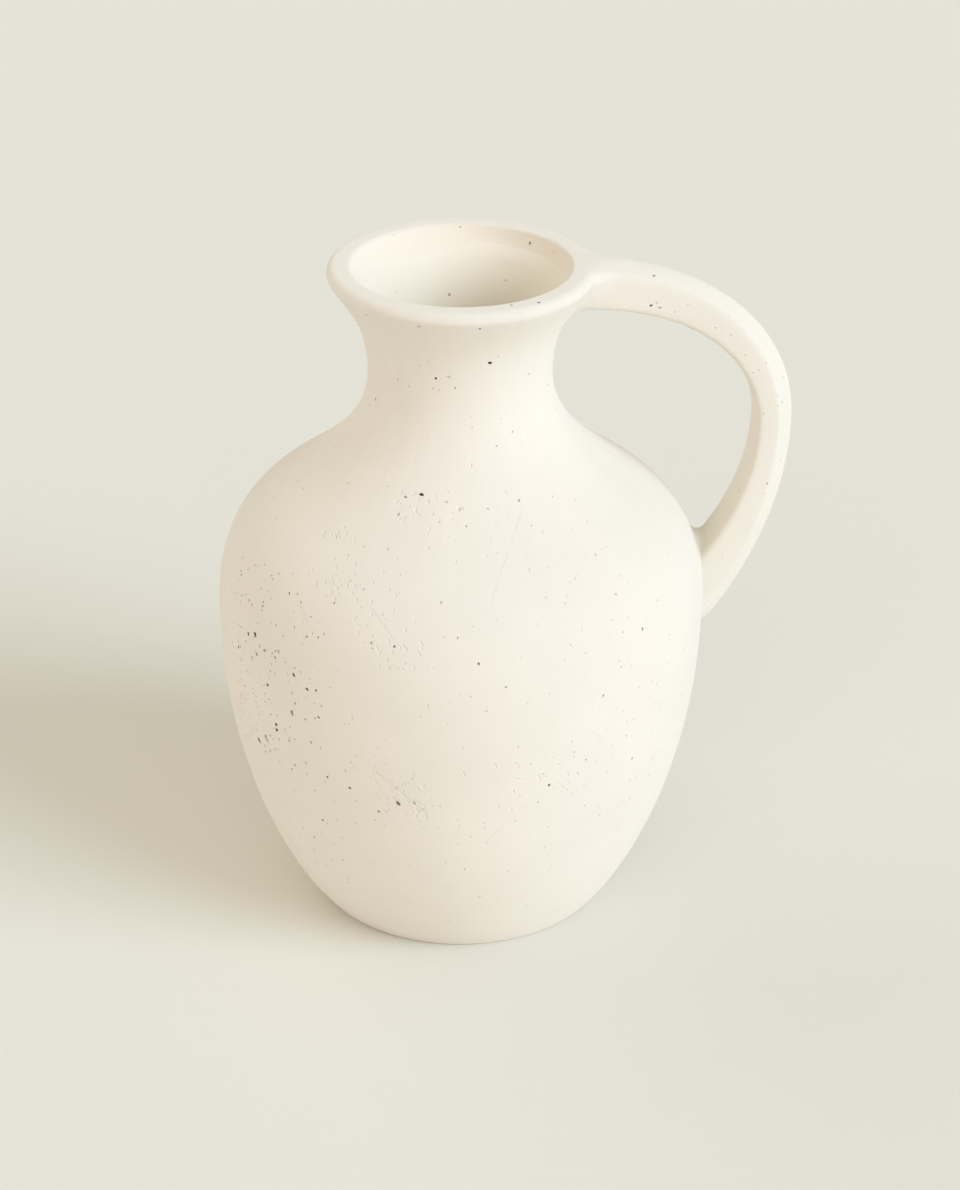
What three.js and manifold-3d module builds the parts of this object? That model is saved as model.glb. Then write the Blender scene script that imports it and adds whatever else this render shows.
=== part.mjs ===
// Handled vase: a cream earthenware jug shape with one strap handle.
// The pot is put together from separate clay pieces: a base slab, three courses of wall, a neck
// collar, a lip ring, a strap handle and the two rolls of soft clay that bed the handle's ends.
// A thin coat of glaze lines the inside.
//
// Units are millimetres and +Z is up. The origin is the centre of the resting face, on the axis
// of the pot, and the handle lies along +X.

import * as THREE from 'three';
import { mergeVertices } from 'three/addons/utils/BufferGeometryUtils.js';
import Module from 'manifold-3d';

const wasm = await Module();
wasm.setup();

// Rises of the four bands of the outside, which add up to the height of the pot
const bellyRise = 132;
const shoulderRise = 57.5;
const neckFootRise = 46.5;
const neckFlareRise = 44;

// Radii of the outside
const footRadius = 61;
const bellyRadius = 100;
const shoulderRadius = 69;
const neckRadius = 37;
const lipRadius = 53;

// Roundings and slopes of the outside, the slopes measured up from level
const footRounding = 1.5;
const lipRounding = 3.2;
const footSlope = THREE.MathUtils.degToRad(53);
const shoulderSlope = THREE.MathUtils.degToRad(36);
const flareSlope = THREE.MathUtils.degToRad(56);

// How far each curve holds on to its end slopes, as shares of its own band's rise
const fullness = {
  lowerBelly: [0.03, 0.65],
  upperBelly: [0.65, 0.34],
  neckFoot: [0.47, 0.44],
  neckFlare: [0.45, 0.3],
};

// Thickness of the clay
const baseThickness = 9;
const bellyWall = 6.5;
const neckWall = 8.5;

// The mouth: its edge, and the band inside the lip that ends in a small step
const mouthRadius = 43.7;
const mouthRounding = 0.9;
const bandDepth = 6.4;
const bandTaper = 0.9;

// Level joints between the pieces of the pot: one below and one above the widest part of the
// belly, one below the narrowest part of the neck and one below the top of the lip
const bellyJointDrop = 66;
const shoulderJointRise = 16;
const neckJointDrop = 28;
const lipRingRise = 12;

// The glaze that lines the inside
const glazeThickness = 0.7;
const glazeEdgeDrop = 0.5;

// The strap handle: the way of its middle line, then its section at three places, where body is
// the thickness up to the flat of the outer face and crown is how far the outer face swells past it
const handleStandOff = 28.1;
const handleRootInset = 7;
const handleBendHeight = 208.8;
const handleFootHeight = 129.3;
const handleFootInset = 4.7;
const handlePull = { root: 52.5, overBend: 33.4, underBend: 46, foot: 9 };
const footPullSlope = THREE.MathUtils.degToRad(64);
const strap = {
  root: { body: 17.8, crown: 1, width: 19.2 },
  bend: { body: 10.1, crown: 5.7, width: 18.8 },
  foot: { body: 21, crown: 5.5, width: 25.7 },
};
const strapCornerShare = 0.18;
const strapOverrun = { root: 0.05, foot: 0.15 };

// The rolls of soft clay that bed the handle's ends: the radii of the hollows that they fill
// between strap and pot, at the inner and the outer face, their length along the strap, and how
// thin they run out over the pot. The upper one leaves the outer face flush with the lip.
const rootBed = { inner: 13, outer: 15, length: 19, overOuterFace: false };
const footBed = { inner: 1.5, outer: 1.5, length: 42, overOuterFace: true };
const bedEdge = 0.8;

// Inside its rolls the strap is thinned to a core, so that the rolls end flush with it
const coreDepth = 2.5;

// Gap left between a piece and the neighbour that shapes it
const jointGap = 0.3;

// Fineness of the model
const turnSteps = 48;
const curveSteps = {
  footRounding: 2, lowerBelly: 9, upperBelly: 7, neckFoot: 6, neckFlare: 6, lipRounding: 5,
};
const mouthEdgeSteps = 3;
const strapSteps = 30;
const strapCornerSteps = 4;
const rollSteps = 24;
const rollSideSteps = 6;
const potSpaceSteps = 96;

// Closeness of the searches: shares of the strap's way, and lengths
const shareStride = 0.001;
const closeEnough = 0.01;

// Heights that follow from the rises
const shoulderHeight = bellyRise + shoulderRise;
const waistHeight = shoulderHeight + neckFootRise;
const overallHeight = waistHeight + neckFlareRise;
const bellyJointHeight = bellyRise - bellyJointDrop;
const shoulderJointHeight = bellyRise + shoulderJointRise;
const neckJointHeight = waistHeight - neckJointDrop;
const lipJointHeight = overallHeight - lipRingRise;
const stepHeight = overallHeight - bandDepth;

const clay = { color: 0xf1ede0, roughness: 0.9, metalness: 0 };
const glaze = { color: 0xefe7d6, roughness: 0.45, metalness: 0 };

const point = (r, z) => new THREE.Vector2(r, z);
const polar = (angle, length) => point(Math.cos(angle) * length, Math.sin(angle) * length);

// The outside of the pot from the edge of the resting face to the flat top of the lip,
// as curves in the plane of radius and height, each with its number of steps
function outsideCurves() {
  const footTop = point(footRadius, 0).add(point(Math.sin(footSlope), 1 - Math.cos(footSlope))
    .multiplyScalar(footRounding));
  const belly = point(bellyRadius, bellyRise);
  const shoulder = point(shoulderRadius, shoulderHeight);
  const waist = point(neckRadius, waistHeight);
  const lipCentre = point(lipRadius - lipRounding, overallHeight - lipRounding);
  const lipStart = lipCentre.clone().add(polar(flareSlope - Math.PI / 2, lipRounding));
  const up = point(0, 1);
  const shoulderRun = polar(Math.PI - shoulderSlope, 1);

  const span = (start, startWay, end, endWay, rise, [hold, arrive]) => new THREE.CubicBezierCurve(
    start,
    start.clone().addScaledVector(startWay, hold * rise),
    end.clone().addScaledVector(endWay, -arrive * rise),
    end,
  );
  return [
    [new THREE.EllipseCurve(footRadius, footRounding, footRounding, footRounding,
      -Math.PI / 2, footSlope - Math.PI / 2), curveSteps.footRounding],
    [span(footTop, polar(footSlope, 1), belly, up, bellyRise, fullness.lowerBelly),
      curveSteps.lowerBelly],
    [span(belly, up, shoulder, shoulderRun, shoulderRise, fullness.upperBelly),
      curveSteps.upperBelly],
    [span(shoulder, shoulderRun, waist, up, neckFootRise, fullness.neckFoot),
      curveSteps.neckFoot],
    [span(waist, up, lipStart, polar(flareSlope, 1), neckFlareRise, fullness.neckFlare),
      curveSteps.neckFlare],
    [new THREE.EllipseCurve(lipCentre.x, lipCentre.y, lipRounding, lipRounding,
      flareSlope - Math.PI / 2, Math.PI / 2), curveSteps.lipRounding],
  ];
}

function outsideProfile() {
  const points = [];
  for (const [curve, steps] of outsideCurves()) {
    points.push(...curve.getPoints(steps).slice(points.length ? 1 : 0));
  }
  return points;
}

// The profile moved sideways by depth(z), towards the axis where depth is positive
function offsetProfile(profile, depth) {
  return profile.map((here, i) => {
    const before = profile[Math.max(i - 1, 0)];
    const after = profile[Math.min(i + 1, profile.length - 1)];
    const way = after.clone().sub(before).normalize();
    return point(here.x - way.y * depth(here.y), here.y + way.x * depth(here.y));
  });
}

// The part of a rising profile that lies between two heights, with its ends exactly on them
function between(profile, low, high) {
  const cut = (a, b, z) => point(a.x + (b.x - a.x) * (z - a.y) / (b.y - a.y), z);
  const kept = [];
  for (let i = 0; i + 1 < profile.length; i += 1) {
    const a = profile[i];
    const b = profile[i + 1];
    if (a.y < low && b.y > low) kept.push(cut(a, b, low));
    if (b.y > low && b.y < high) kept.push(b);
    if (a.y < high && b.y >= high) {
      kept.push(cut(a, b, high));
      break;
    }
  }
  return kept;
}

const wallAt = (z) => THREE.MathUtils.lerp(
  bellyWall,
  neckWall,
  THREE.MathUtils.smoothstep(z, bellyRise, waistHeight),
);
const outside = outsideProfile();
const inside = offsetProfile(outside, wallAt);

function turned(profile, steps = turnSteps) {
  const geometry = new THREE.LatheGeometry(profile, steps);
  geometry.rotateX(Math.PI / 2);
  return geometry;
}

function closed(profile) {
  return [...profile, profile[0].clone()];
}

// Joining and cutting of closed meshes
function solidOf(geometry) {
  const bare = geometry.clone();
  bare.deleteAttribute('normal');
  bare.deleteAttribute('uv');
  const merged = mergeVertices(bare, 1e-4);
  const triangles = [];
  const index = merged.index.array;
  for (let i = 0; i < index.length; i += 3) {
    const [a, b, c] = index.slice(i, i + 3);
    if (a !== b && b !== c && c !== a) triangles.push(a, b, c);
  }
  return new wasm.Manifold(new wasm.Mesh({
    numProp: 3,
    vertProperties: new Float32Array(merged.attributes.position.array),
    triVerts: new Uint32Array(triangles),
  }));
}

function geometryOf(solid) {
  const mesh = solid.getMesh();
  const geometry = new THREE.BufferGeometry();
  geometry.setAttribute('position', new THREE.BufferAttribute(mesh.vertProperties, 3));
  geometry.setIndex(new THREE.BufferAttribute(mesh.triVerts, 1));
  return geometry;
}

function baseSlab() {
  const side = between(outside, 0, baseThickness);
  return turned([point(0, 0), outside[0], ...side, point(0, baseThickness)]);
}

// A ring of the wall between two level joints
function course(low, high) {
  const outer = between(outside, low, high);
  const inner = between(inside, low, high);
  return turned(closed([...outer, ...inner.reverse()]));
}

function lipRing() {
  const outer = between(outside, lipJointHeight, overallHeight);
  const inner = between(inside, lipJointHeight, stepHeight);
  const edge = new THREE.EllipseCurve(
    mouthRadius + mouthRounding,
    overallHeight - mouthRounding,
    mouthRounding,
    mouthRounding,
    Math.PI / 2,
    Math.PI,
  );
  const bandFoot = point(mouthRadius - bandTaper, stepHeight);
  return turned(closed([...outer, ...edge.getPoints(mouthEdgeSteps), bandFoot, ...inner.reverse()]));
}

// The glaze coat: it follows the inside of the wall and covers the floor
function glazeLining() {
  const coatTop = stepHeight - glazeEdgeDrop;
  const floorLow = baseThickness + jointGap;
  const floorHigh = floorLow + glazeThickness;
  const back = offsetProfile(outside, (z) => wallAt(z) + jointGap);
  const face = offsetProfile(outside, (z) => wallAt(z) + jointGap + glazeThickness);
  const outer = between(back, floorLow, coatTop);
  const inner = between(face, floorHigh, coatTop);
  return turned([point(0, floorLow), ...outer, ...inner.reverse(), point(0, floorHigh)]);
}

// The strap's middle line in the plane of the handle: out over the bend, then down to the belly
function handleLine() {
  const rootMiddle = (strap.root.body + strap.root.crown) / 2;
  const root = new THREE.Vector3(
    lipRadius - handleRootInset,
    0,
    overallHeight - rootMiddle,
  );
  const bend = new THREE.Vector3(bellyRadius + handleStandOff, 0, handleBendHeight);
  const foot = new THREE.Vector3(bellyRadius - handleFootInset, 0, handleFootHeight);
  const outFromRoot = root.clone().setX(root.x + handlePull.root);
  const overBend = bend.clone().setZ(bend.z + handlePull.overBend);
  const underBend = bend.clone().setZ(bend.z - handlePull.underBend);
  const footWay = new THREE.Vector3(Math.cos(footPullSlope), 0, Math.sin(footPullSlope));
  const overFoot = foot.clone().addScaledVector(footWay, handlePull.foot);
  return [
    new THREE.CubicBezierCurve3(root, outFromRoot, overBend, bend),
    new THREE.CubicBezierCurve3(bend, underBend, overFoot, foot),
  ];
}

// Place, direction and size of the strap at a share of its way, from 0 at the lip to 1 at the
// belly. Past both ends it runs straight on.
const [overLine, underLine] = handleLine();
function strapAt(share) {
  const over = share < 0.5;
  const curve = over ? overLine : underLine;
  const [from, to] = over ? [strap.root, strap.bend] : [strap.bend, strap.foot];
  const wanted = over ? share * 2 : share * 2 - 1;
  const along = THREE.MathUtils.clamp(wanted, 0, 1);
  const ease = THREE.MathUtils.smoothstep(along, 0, 1);
  const size = (name) => THREE.MathUtils.lerp(from[name], to[name], ease);
  const way = curve.getTangent(along);
  return {
    place: curve.getPoint(along).addScaledVector(way, (wanted - along) * curve.getLength()),
    outward: new THREE.Vector3(-way.z, 0, way.x),
    body: size('body'),
    crown: size('crown'),
    width: size('width'),
  };
}

// The strap's section with rounded corners: across it runs from -0.5 to 0.5, and outward it has
// the body from -0.5 to 0.5 and the crown of the outer face from there to 1.5
function strapSection(sideSteps) {
  const edge = 0.5;
  const near = edge - strapCornerShare;
  const crownPull = 2 * (edge + 1) - edge;
  const section = new THREE.Shape();
  const side = (across, from, to) => {
    for (let i = 1; i < sideSteps; i += 1) {
      section.lineTo(THREE.MathUtils.lerp(from, to, i / sideSteps), across);
    }
  };
  section.moveTo(near, -edge);
  section.quadraticCurveTo(edge, -edge, edge, -near);
  section.quadraticCurveTo(crownPull, 0, edge, near);
  section.quadraticCurveTo(edge, edge, near, edge);
  side(edge, near, -near);
  section.lineTo(-near, edge);
  section.quadraticCurveTo(-edge, edge, -edge, near);
  section.lineTo(-edge, -near);
  section.quadraticCurveTo(-edge, -edge, -near, -edge);
  side(-edge, -near, near);
  return section;
}

// How far a point lies outside the pot, negative within it
function distanceToPot(spot) {
  const here = point(Math.hypot(spot.x, spot.y), spot.z);
  let best = Infinity;
  let sign = 1;
  for (let i = 0; i + 1 < outside.length; i += 1) {
    const run = outside[i + 1].clone().sub(outside[i]);
    const reach = here.clone().sub(outside[i]);
    const share = THREE.MathUtils.clamp(reach.dot(run) / run.lengthSq(), 0, 1);
    const distance = reach.clone().addScaledVector(run, -share).length();
    if (distance < best) {
      best = distance;
      sign = Math.sign(run.y * reach.x - run.x * reach.y);
    }
  }
  return sign * best;
}

// A solid that follows the strap between two shares of its way. Each point of the strap's surface
// is moved outward by growth(moved, out), where moved(far) is the point after a move and out runs
// from -0.5 at the inner face to 0.5 at the outer face, which can be left where it is.
function alongStrap(start, end, steps, growth, { sideSteps = 1, overOuterFace = true } = {}) {
  const geometry = new THREE.ExtrudeGeometry(strapSection(sideSteps), {
    depth: 1, steps, bevelEnabled: false, curveSegments: strapCornerSteps,
  });
  const position = geometry.attributes.position;
  for (let i = 0; i < position.count; i += 1) {
    const { place, outward, body, crown, width } = strapAt(
      THREE.MathUtils.lerp(start, end, position.getZ(i)),
    );
    const out = Math.min(position.getX(i), 0.5);
    const swell = position.getX(i) - out;
    const across = -position.getY(i);
    const lifting = out < 0 || overOuterFace ? 2 : 0;
    const moved = (far) => place.clone()
      .addScaledVector(outward, out * (body + lifting * far) + swell * crown - crown / 2)
      .setY(across * (width + 2 * far));
    const { x, y, z } = moved(growth(moved, out));
    position.setXYZ(i, x, y, z);
  }
  return solidOf(geometry);
}

// The growth that fills the hollows between the strap and the pot
function filletOf({ inner, outer }) {
  return (moved, out) => {
    const hollow = THREE.MathUtils.lerp(inner, outer, out + 0.5);
    const filled = (far) => {
      const gap = distanceToPot(moved(far));
      return gap < 0 || (gap < hollow && Math.hypot(hollow - far, hollow - gap) > hollow);
    };
    if (!filled(0)) return 0;
    let low = 0;
    let high = hollow - Math.sqrt(hollow ** 2 - (hollow - bedEdge) ** 2);
    while (high - low > closeEnough) {
      const middle = (low + high) / 2;
      if (filled(middle)) low = middle;
      else high = middle;
    }
    return low;
  };
}

// The space of the pot itself, filled in, with the joint gap around it
function potSpace() {
  const grown = offsetProfile(outside, () => -jointGap);
  const underside = point(0, grown[0].y);
  const top = point(0, grown.at(-1).y);
  return solidOf(turned([underside, ...grown, top], potSpaceSteps));
}

// The share of the strap's way at which its middle line leaves the pot, from share 0 or 1
function leavesPotAt(end) {
  const stride = end < 0.5 ? shareStride : -shareStride;
  let here = end;
  while (distanceToPot(strapAt(here).place) < 0) here += stride;
  return here;
}

// The share that lies a length further along the strap, towards its bend
function sharePast(share, length) {
  const stride = share < 0.5 ? shareStride : -shareStride;
  let here = share;
  for (let walked = 0; walked < length; here += stride) {
    walked += strapAt(here).place.distanceTo(strapAt(here + stride).place);
  }
  return here;
}

const pot = potSpace();
const rollStarts = { root: -strapOverrun.root, foot: 1 + strapOverrun.foot };
const rollEnds = {
  root: sharePast(leavesPotAt(0), rootBed.length),
  foot: sharePast(leavesPotAt(1), footBed.length),
};

// A full strap between its rolls, and its core within them
function strapHandle() {
  const full = alongStrap(
    sharePast(rollEnds.root, jointGap),
    sharePast(rollEnds.foot, jointGap),
    strapSteps,
    () => 0,
  );
  const core = alongStrap(rollStarts.root, rollStarts.foot, strapSteps, () => -coreDepth);
  return geometryOf(full.add(core).subtract(pot));
}

// A roll round the strap's core, which fills the hollow where the strap nears the pot
function roll(start, end, bed) {
  const passage = alongStrap(
    rollStarts.root,
    rollStarts.foot,
    strapSteps,
    () => jointGap - coreDepth,
  );
  const { overOuterFace } = bed;
  const shape = { sideSteps: rollSideSteps, overOuterFace };
  return geometryOf(
    alongStrap(start, end, rollSteps, filletOf(bed), shape).subtract(passage).subtract(pot),
  );
}

function piece(name, geometry, look) {
  const mesh = new THREE.Mesh(geometry, new THREE.MeshStandardMaterial(look));
  mesh.name = name;
  return mesh;
}

const vase = new THREE.Group();
vase.name = 'handled_vase';
vase.add(
  piece('base_slab', baseSlab(), clay),
  piece('lower_wall', course(baseThickness, bellyJointHeight), clay),
  piece('belly_wall', course(bellyJointHeight, shoulderJointHeight), clay),
  piece('shoulder_wall', course(shoulderJointHeight, neckJointHeight), clay),
  piece('neck_collar', course(neckJointHeight, lipJointHeight), clay),
  piece('lip_ring', lipRing(), clay),
  piece('strap_handle', strapHandle(), clay),
  piece('handle_root_bed', roll(rollStarts.root, rollEnds.root, rootBed), clay),
  piece('handle_foot_bed', roll(rollEnds.foot, rollStarts.foot, footBed), clay),
  piece('inner_glaze', glazeLining(), glaze),
);

export default vase;
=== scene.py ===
# Looks of the handled vase, built round the packed part and in its frame.
# Lengths are metres, +Z is up, the pot stands on the origin and the handle lies along +X.

import math
import random

import bmesh
import bpy
import numpy as np
from bpy.props import FloatProperty, FloatVectorProperty, IntProperty, PointerProperty
from mathutils import Matrix, Vector, kdtree, noise
from mathutils.geometry import interpolate_bezier


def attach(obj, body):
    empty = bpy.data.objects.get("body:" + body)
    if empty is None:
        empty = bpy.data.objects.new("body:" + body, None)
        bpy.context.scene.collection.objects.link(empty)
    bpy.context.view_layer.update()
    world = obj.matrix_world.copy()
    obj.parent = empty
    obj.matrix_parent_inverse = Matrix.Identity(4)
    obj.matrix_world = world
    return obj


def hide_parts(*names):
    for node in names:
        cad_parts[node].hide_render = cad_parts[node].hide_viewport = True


bl_info = {
    "name": "Handled vase",
    "version": (1, 0, 0),
    "blender": (4, 5, 0),
    "location": "3D View > Sidebar > Vase",
    "description": "Builds the looks of a handled earthenware vase round its packed part",
    "category": "Object",
}

MM = 0.001
UP = Vector((0, 0, 1))

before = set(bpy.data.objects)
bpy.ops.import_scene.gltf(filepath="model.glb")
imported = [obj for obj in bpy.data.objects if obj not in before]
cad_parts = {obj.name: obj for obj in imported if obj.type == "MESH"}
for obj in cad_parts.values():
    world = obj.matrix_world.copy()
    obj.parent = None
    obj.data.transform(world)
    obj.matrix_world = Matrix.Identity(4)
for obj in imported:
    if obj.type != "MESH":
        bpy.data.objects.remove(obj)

# The noise of the hand work's waves starts from this in every run
WAVE_SEED = 5
noise.seed_set(WAVE_SEED)


def srgb(code):
    """A colour written as #rrggbb, as linear values"""
    values = [int(code[i : i + 2], 16) / 255 for i in (1, 3, 5)]
    return tuple(v / 12.92 if v <= 0.04045 else ((v + 0.055) / 1.055) ** 2.4 for v in values)


def length(label, millimetres, tells):
    return FloatProperty(
        name=label, description=tells, default=millimetres * MM, unit="LENGTH", precision=5
    )


def slope(label, degrees, tells):
    return FloatProperty(
        name=label, description=tells, default=math.radians(degrees), unit="ROTATION"
    )


def number(label, default, tells):
    return FloatProperty(name=label, description=tells, default=default, precision=4)


def count(label, default, tells):
    return IntProperty(name=label, description=tells, default=default, min=1)


def colour(label, code, tells):
    return FloatVectorProperty(
        name=label, description=tells, default=srgb(code), size=3, subtype="COLOR", min=0, max=1
    )


class PotForm(bpy.types.PropertyGroup):
    """Outside and inside of the pot"""

    belly_rise: length("Belly rise", 132, "Height of the widest part above the floor")
    shoulder_rise: length("Shoulder rise", 57.5, "From the widest part to the turn of the shoulder")
    neck_foot_rise: length("Neck foot rise", 46.5, "From the turn of the shoulder to the waist")
    neck_flare_rise: length("Neck flare rise", 44, "From the waist to the top of the lip")
    foot_radius: length("Foot radius", 61, "Radius of the flat resting face")
    belly_radius: length("Belly radius", 100, "Radius at the widest part")
    shoulder_radius: length("Shoulder radius", 69, "Radius at the turn of the shoulder")
    neck_radius: length("Neck radius", 37, "Radius at the waist of the neck")
    lip_radius: length("Lip radius", 53, "Outer radius of the lip")
    foot_rounding: length("Foot rounding", 1.5, "Rounding of the foot's edge")
    lip_rounding: length("Lip rounding", 3.2, "Rounding of the lip's outer edge")
    foot_slope: slope("Foot slope", 53, "Slope of the wall as it leaves the foot")
    shoulder_slope: slope("Shoulder slope", 36, "Slope of the wall at the turn of the shoulder")
    flare_slope: slope("Flare slope", 56, "Slope of the wall as it reaches the lip")
    base_thickness: length("Base thickness", 9, "Thickness of the floor")
    belly_wall: length("Belly wall", 6.5, "Thickness of the wall up to the belly")
    neck_wall: length("Neck wall", 8.5, "Thickness of the wall at the neck")
    mouth_radius: length("Mouth radius", 43.7, "Radius of the mouth's edge")
    mouth_rounding: length("Mouth rounding", 1.5, "Rounding of the mouth's edge")
    band_depth: length("Band depth", 6.4, "Height of the band inside the lip")
    band_taper: length("Band taper", 2.2, "How much the band narrows downward")
    wipe_depth: length("Wipe depth", 2.4, "How far the band is wiped in away from the handle")
    wipe_run: length("Wipe run", 18, "How far below the band that fades out")
    belly_joint: length("Belly joint", 66, "Height of the joint between the lower and belly walls")
    shoulder_joint: length("Shoulder joint", 148, "Height of the joint under the shoulder wall")
    neck_joint: length("Neck joint", 208, "Height of the joint under the neck collar")
    lip_joint: length("Lip joint", 268, "Height of the joint under the lip ring")
    glaze_thickness: length("Glaze thickness", 0.7, "Thickness of the coat inside")
    coat_run: length("Coat run", 5, "Height over which the coat eases out to the band's foot")
    ledge_depth: length("Ledge depth", 4.2, "How far below the band the clay is cut back")
    joint_gap: length("Joint gap", 0.3, "Gap behind the coat")
    profile_spacing: length("Profile spacing", 1.8, "Distance between the rings of the outside")
    turn_steps: count("Turn steps", 288, "Steps of the turn of the outside")
    inside_turn_steps: count("Inside turn steps", 160, "Steps of the turn of the coat inside")


class StrapForm(bpy.types.PropertyGroup):
    """The strap handle and the rolls that bed its ends"""

    stand_off: length("Stand-off", 28.1, "Reach of the strap's middle past the belly")
    root_inset: length("Root inset", 7, "How far its middle line starts within the lip")
    bend_height: length("Bend height", 208.8, "Height of its outermost point")
    foot_height: length("Foot height", 130.1, "Height at which it meets the belly")
    foot_inset: length("Foot inset", 4.2, "How far its middle line ends within the belly")
    pull_root: length("Root pull", 52.5, "How far the line holds level at the lip")
    pull_over: length("Pull over the bend", 33.4, "How far the line holds upright above the bend")
    pull_under: length("Pull under the bend", 45, "How far it holds upright below the bend")
    pull_foot: length("Foot pull", 1, "How far the line holds its slope at the belly")
    foot_slope: slope("Foot slope", 46, "Slope of the strap as it reaches the belly")
    root_body: length("Root body", 17.8, "Thickness at the lip, up to the flat of the outer face")
    root_crown: length("Root crown", 1, "Swell of the outer face at the lip")
    root_width: length("Root width", 19.2, "Width at the lip")
    bend_body: length("Bend body", 10.1, "Thickness at the bend")
    bend_crown: length("Bend crown", 5.7, "Swell of the outer face at the bend")
    bend_width: length("Bend width", 18.8, "Width at the bend")
    foot_body: length("Foot body", 20.9, "Thickness at the belly")
    foot_crown: length("Foot crown", 5.5, "Swell of the outer face at the belly")
    foot_width: length("Foot width", 25, "Width at the belly")
    root_hollow_inner: length("Root hollow, inner", 13, "Hollow under the strap at the lip")
    root_hollow_side: length("Root hollow, side", 13.5, "Hollow beside the strap at the lip")
    root_hollow_outer: length("Root hollow, outer", 15, "Hollow beside the outer face at the lip")
    root_bed_length: length("Root bed length", 19, "Length of the upper roll along the strap")
    foot_hollow_inner: length("Foot hollow, inner", 4, "Hollow above the strap's foot")
    foot_hollow_side: length("Foot hollow, side", 0.8, "Hollow beside the strap's foot")
    foot_hollow_outer: length("Foot hollow, outer", 0.8, "Hollow below the strap's foot")
    foot_bed_length: length("Foot bed length", 42, "Length of the lower roll along the strap")
    tuck: length("Tuck", 0.9, "How far the rolls run on under the pot's surface")
    tuck_depth: length("Tuck depth", 0.25, "How deep they run there")
    line_steps: count("Line steps", 110, "Rings along the free strap")
    approach_steps: count("Approach steps", 14, "Rings from a roll's joint to its hollow")
    hollow_steps: count("Hollow steps", 12, "Rings over the hollow")


class Looks(bpy.types.PropertyGroup):
    """Colours of the clay, the glaze and the studio"""

    clay: colour("Clay", "#e5e0d1", "Fired clay")
    glaze: colour("Glaze", "#ece5d4", "Glaze inside")
    floor: colour("Floor", "#e5e3d7", "Studio floor")
    # The pits' bottoms are painted dark with this colour: partly real staining, partly painted shade in
    # the hollow
    pit: colour("Pit", "#2a2018", "Stained bottom of a pit")
    # How dark the pinholes are painted: painted shade in the holes, with some staining
    pinhole_stain_and_shade: number("Pinhole stain", 0.5, "How dark the pinholes are")
    clouds: number("Clouds", 0.02, "How much the clay's brightness drifts")


class Studio(bpy.types.PropertyGroup):
    """Camera and lamps"""

    focal_pixels: number("Focal length", 3000, "Focal length in pixels of the picture")
    picture_width: count("Picture width", 960, "Width of the picture in pixels")
    picture_height: count("Picture height", 1190, "Height of the picture in pixels")
    axis_column: number("Axis column", 460.5, "Picture column of the pot's axis")
    aim_height: length("Aim height", 132.8, "Height on the axis that the camera looks at")
    distance: length("Distance", 1248, "From the camera to that point")
    pitch: slope("Pitch", 27.8, "How far the camera looks down")
    turn: slope("Turn", -5, "How far the camera stands round from the front")
    key_azimuth: slope("Key azimuth", -36, "Direction of the key light round from the handle")
    key_height: slope("Key height", 30, "Height of the key light over the floor")
    key_size: slope("Key size", 35, "Apparent size of the key light")
    key_power: number("Key power", 2.24, "Strength of the key light")
    key_colour: colour("Key colour", "#d7e8ff", "Colour of the key light")
    front_azimuth: slope("Front fill azimuth", -100, "Direction of the front fill light")
    front_height: slope("Front fill height", 25, "Height of the front fill over the floor")
    front_size: slope("Front fill size", 70, "Apparent size of the front fill")
    front_power: number("Front fill power", 0.695, "Strength of the front fill")
    front_colour: colour("Front fill colour", "#fff5f2", "Colour of the front fill")
    back_azimuth: slope("Back fill azimuth", 140, "Direction of the back fill light")
    back_height: slope("Back fill height", 25, "Height of the back fill over the floor")
    back_size: slope("Back fill size", 70, "Apparent size of the back fill")
    back_power: number("Back fill power", 0.75, "Strength of the back fill")
    back_colour: colour("Back fill colour", "#fff9ec", "Colour of the back fill")
    low_sky_power: number("Low sky power", 0.43, "What the sky near the floor adds")
    low_sky_colour: colour("Low sky colour", "#f4c5ff", "Colour of the sky near the floor")
    low_sky_top: number("Low sky top", 0.6, "How high that part of the sky reaches, 1 is overhead")
    sky_power: number("Sky power", 0.515, "Strength of the light from all round")
    sky_colour: colour("Sky colour", "#fffcec", "Colour of the light from all round")


# Curves of the pot. Each curve of the outside holds on to its two end slopes for shares of its rise.

FOOT_TO_BELLY = 0.03, 0.65
BELLY_TO_SHOULDER = 0.65, 0.34
SHOULDER_TO_WAIST = 0.47, 0.44
WAIST_TO_LIP = 0.45, 0.3
FOOT_ROUNDING_STEPS = 4
LIP_ROUNDING_STEPS = 10
MOUTH_ROUNDING_STEPS = 6


def run(angle, size):
    return Vector((math.cos(angle), math.sin(angle))) * size


def spoke(degrees):
    """The level direction out of the pot, round from the handle"""
    return run(math.radians(degrees), 1).to_3d()


def span(start, start_way, end, end_way, rise, hold, spacing):
    """Points of a curve that holds on to its end slopes for shares of its rise"""
    first = start + start_way * hold[0] * rise
    last = end - end_way * hold[1] * rise
    steps = max(2, round((end - start).length / spacing))
    return interpolate_bezier(start, first, last, end, steps + 1)


def rounding(centre, radius, first, last, steps):
    return [centre + run(first + (last - first) * i / steps, radius) for i in range(steps + 1)]


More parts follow.
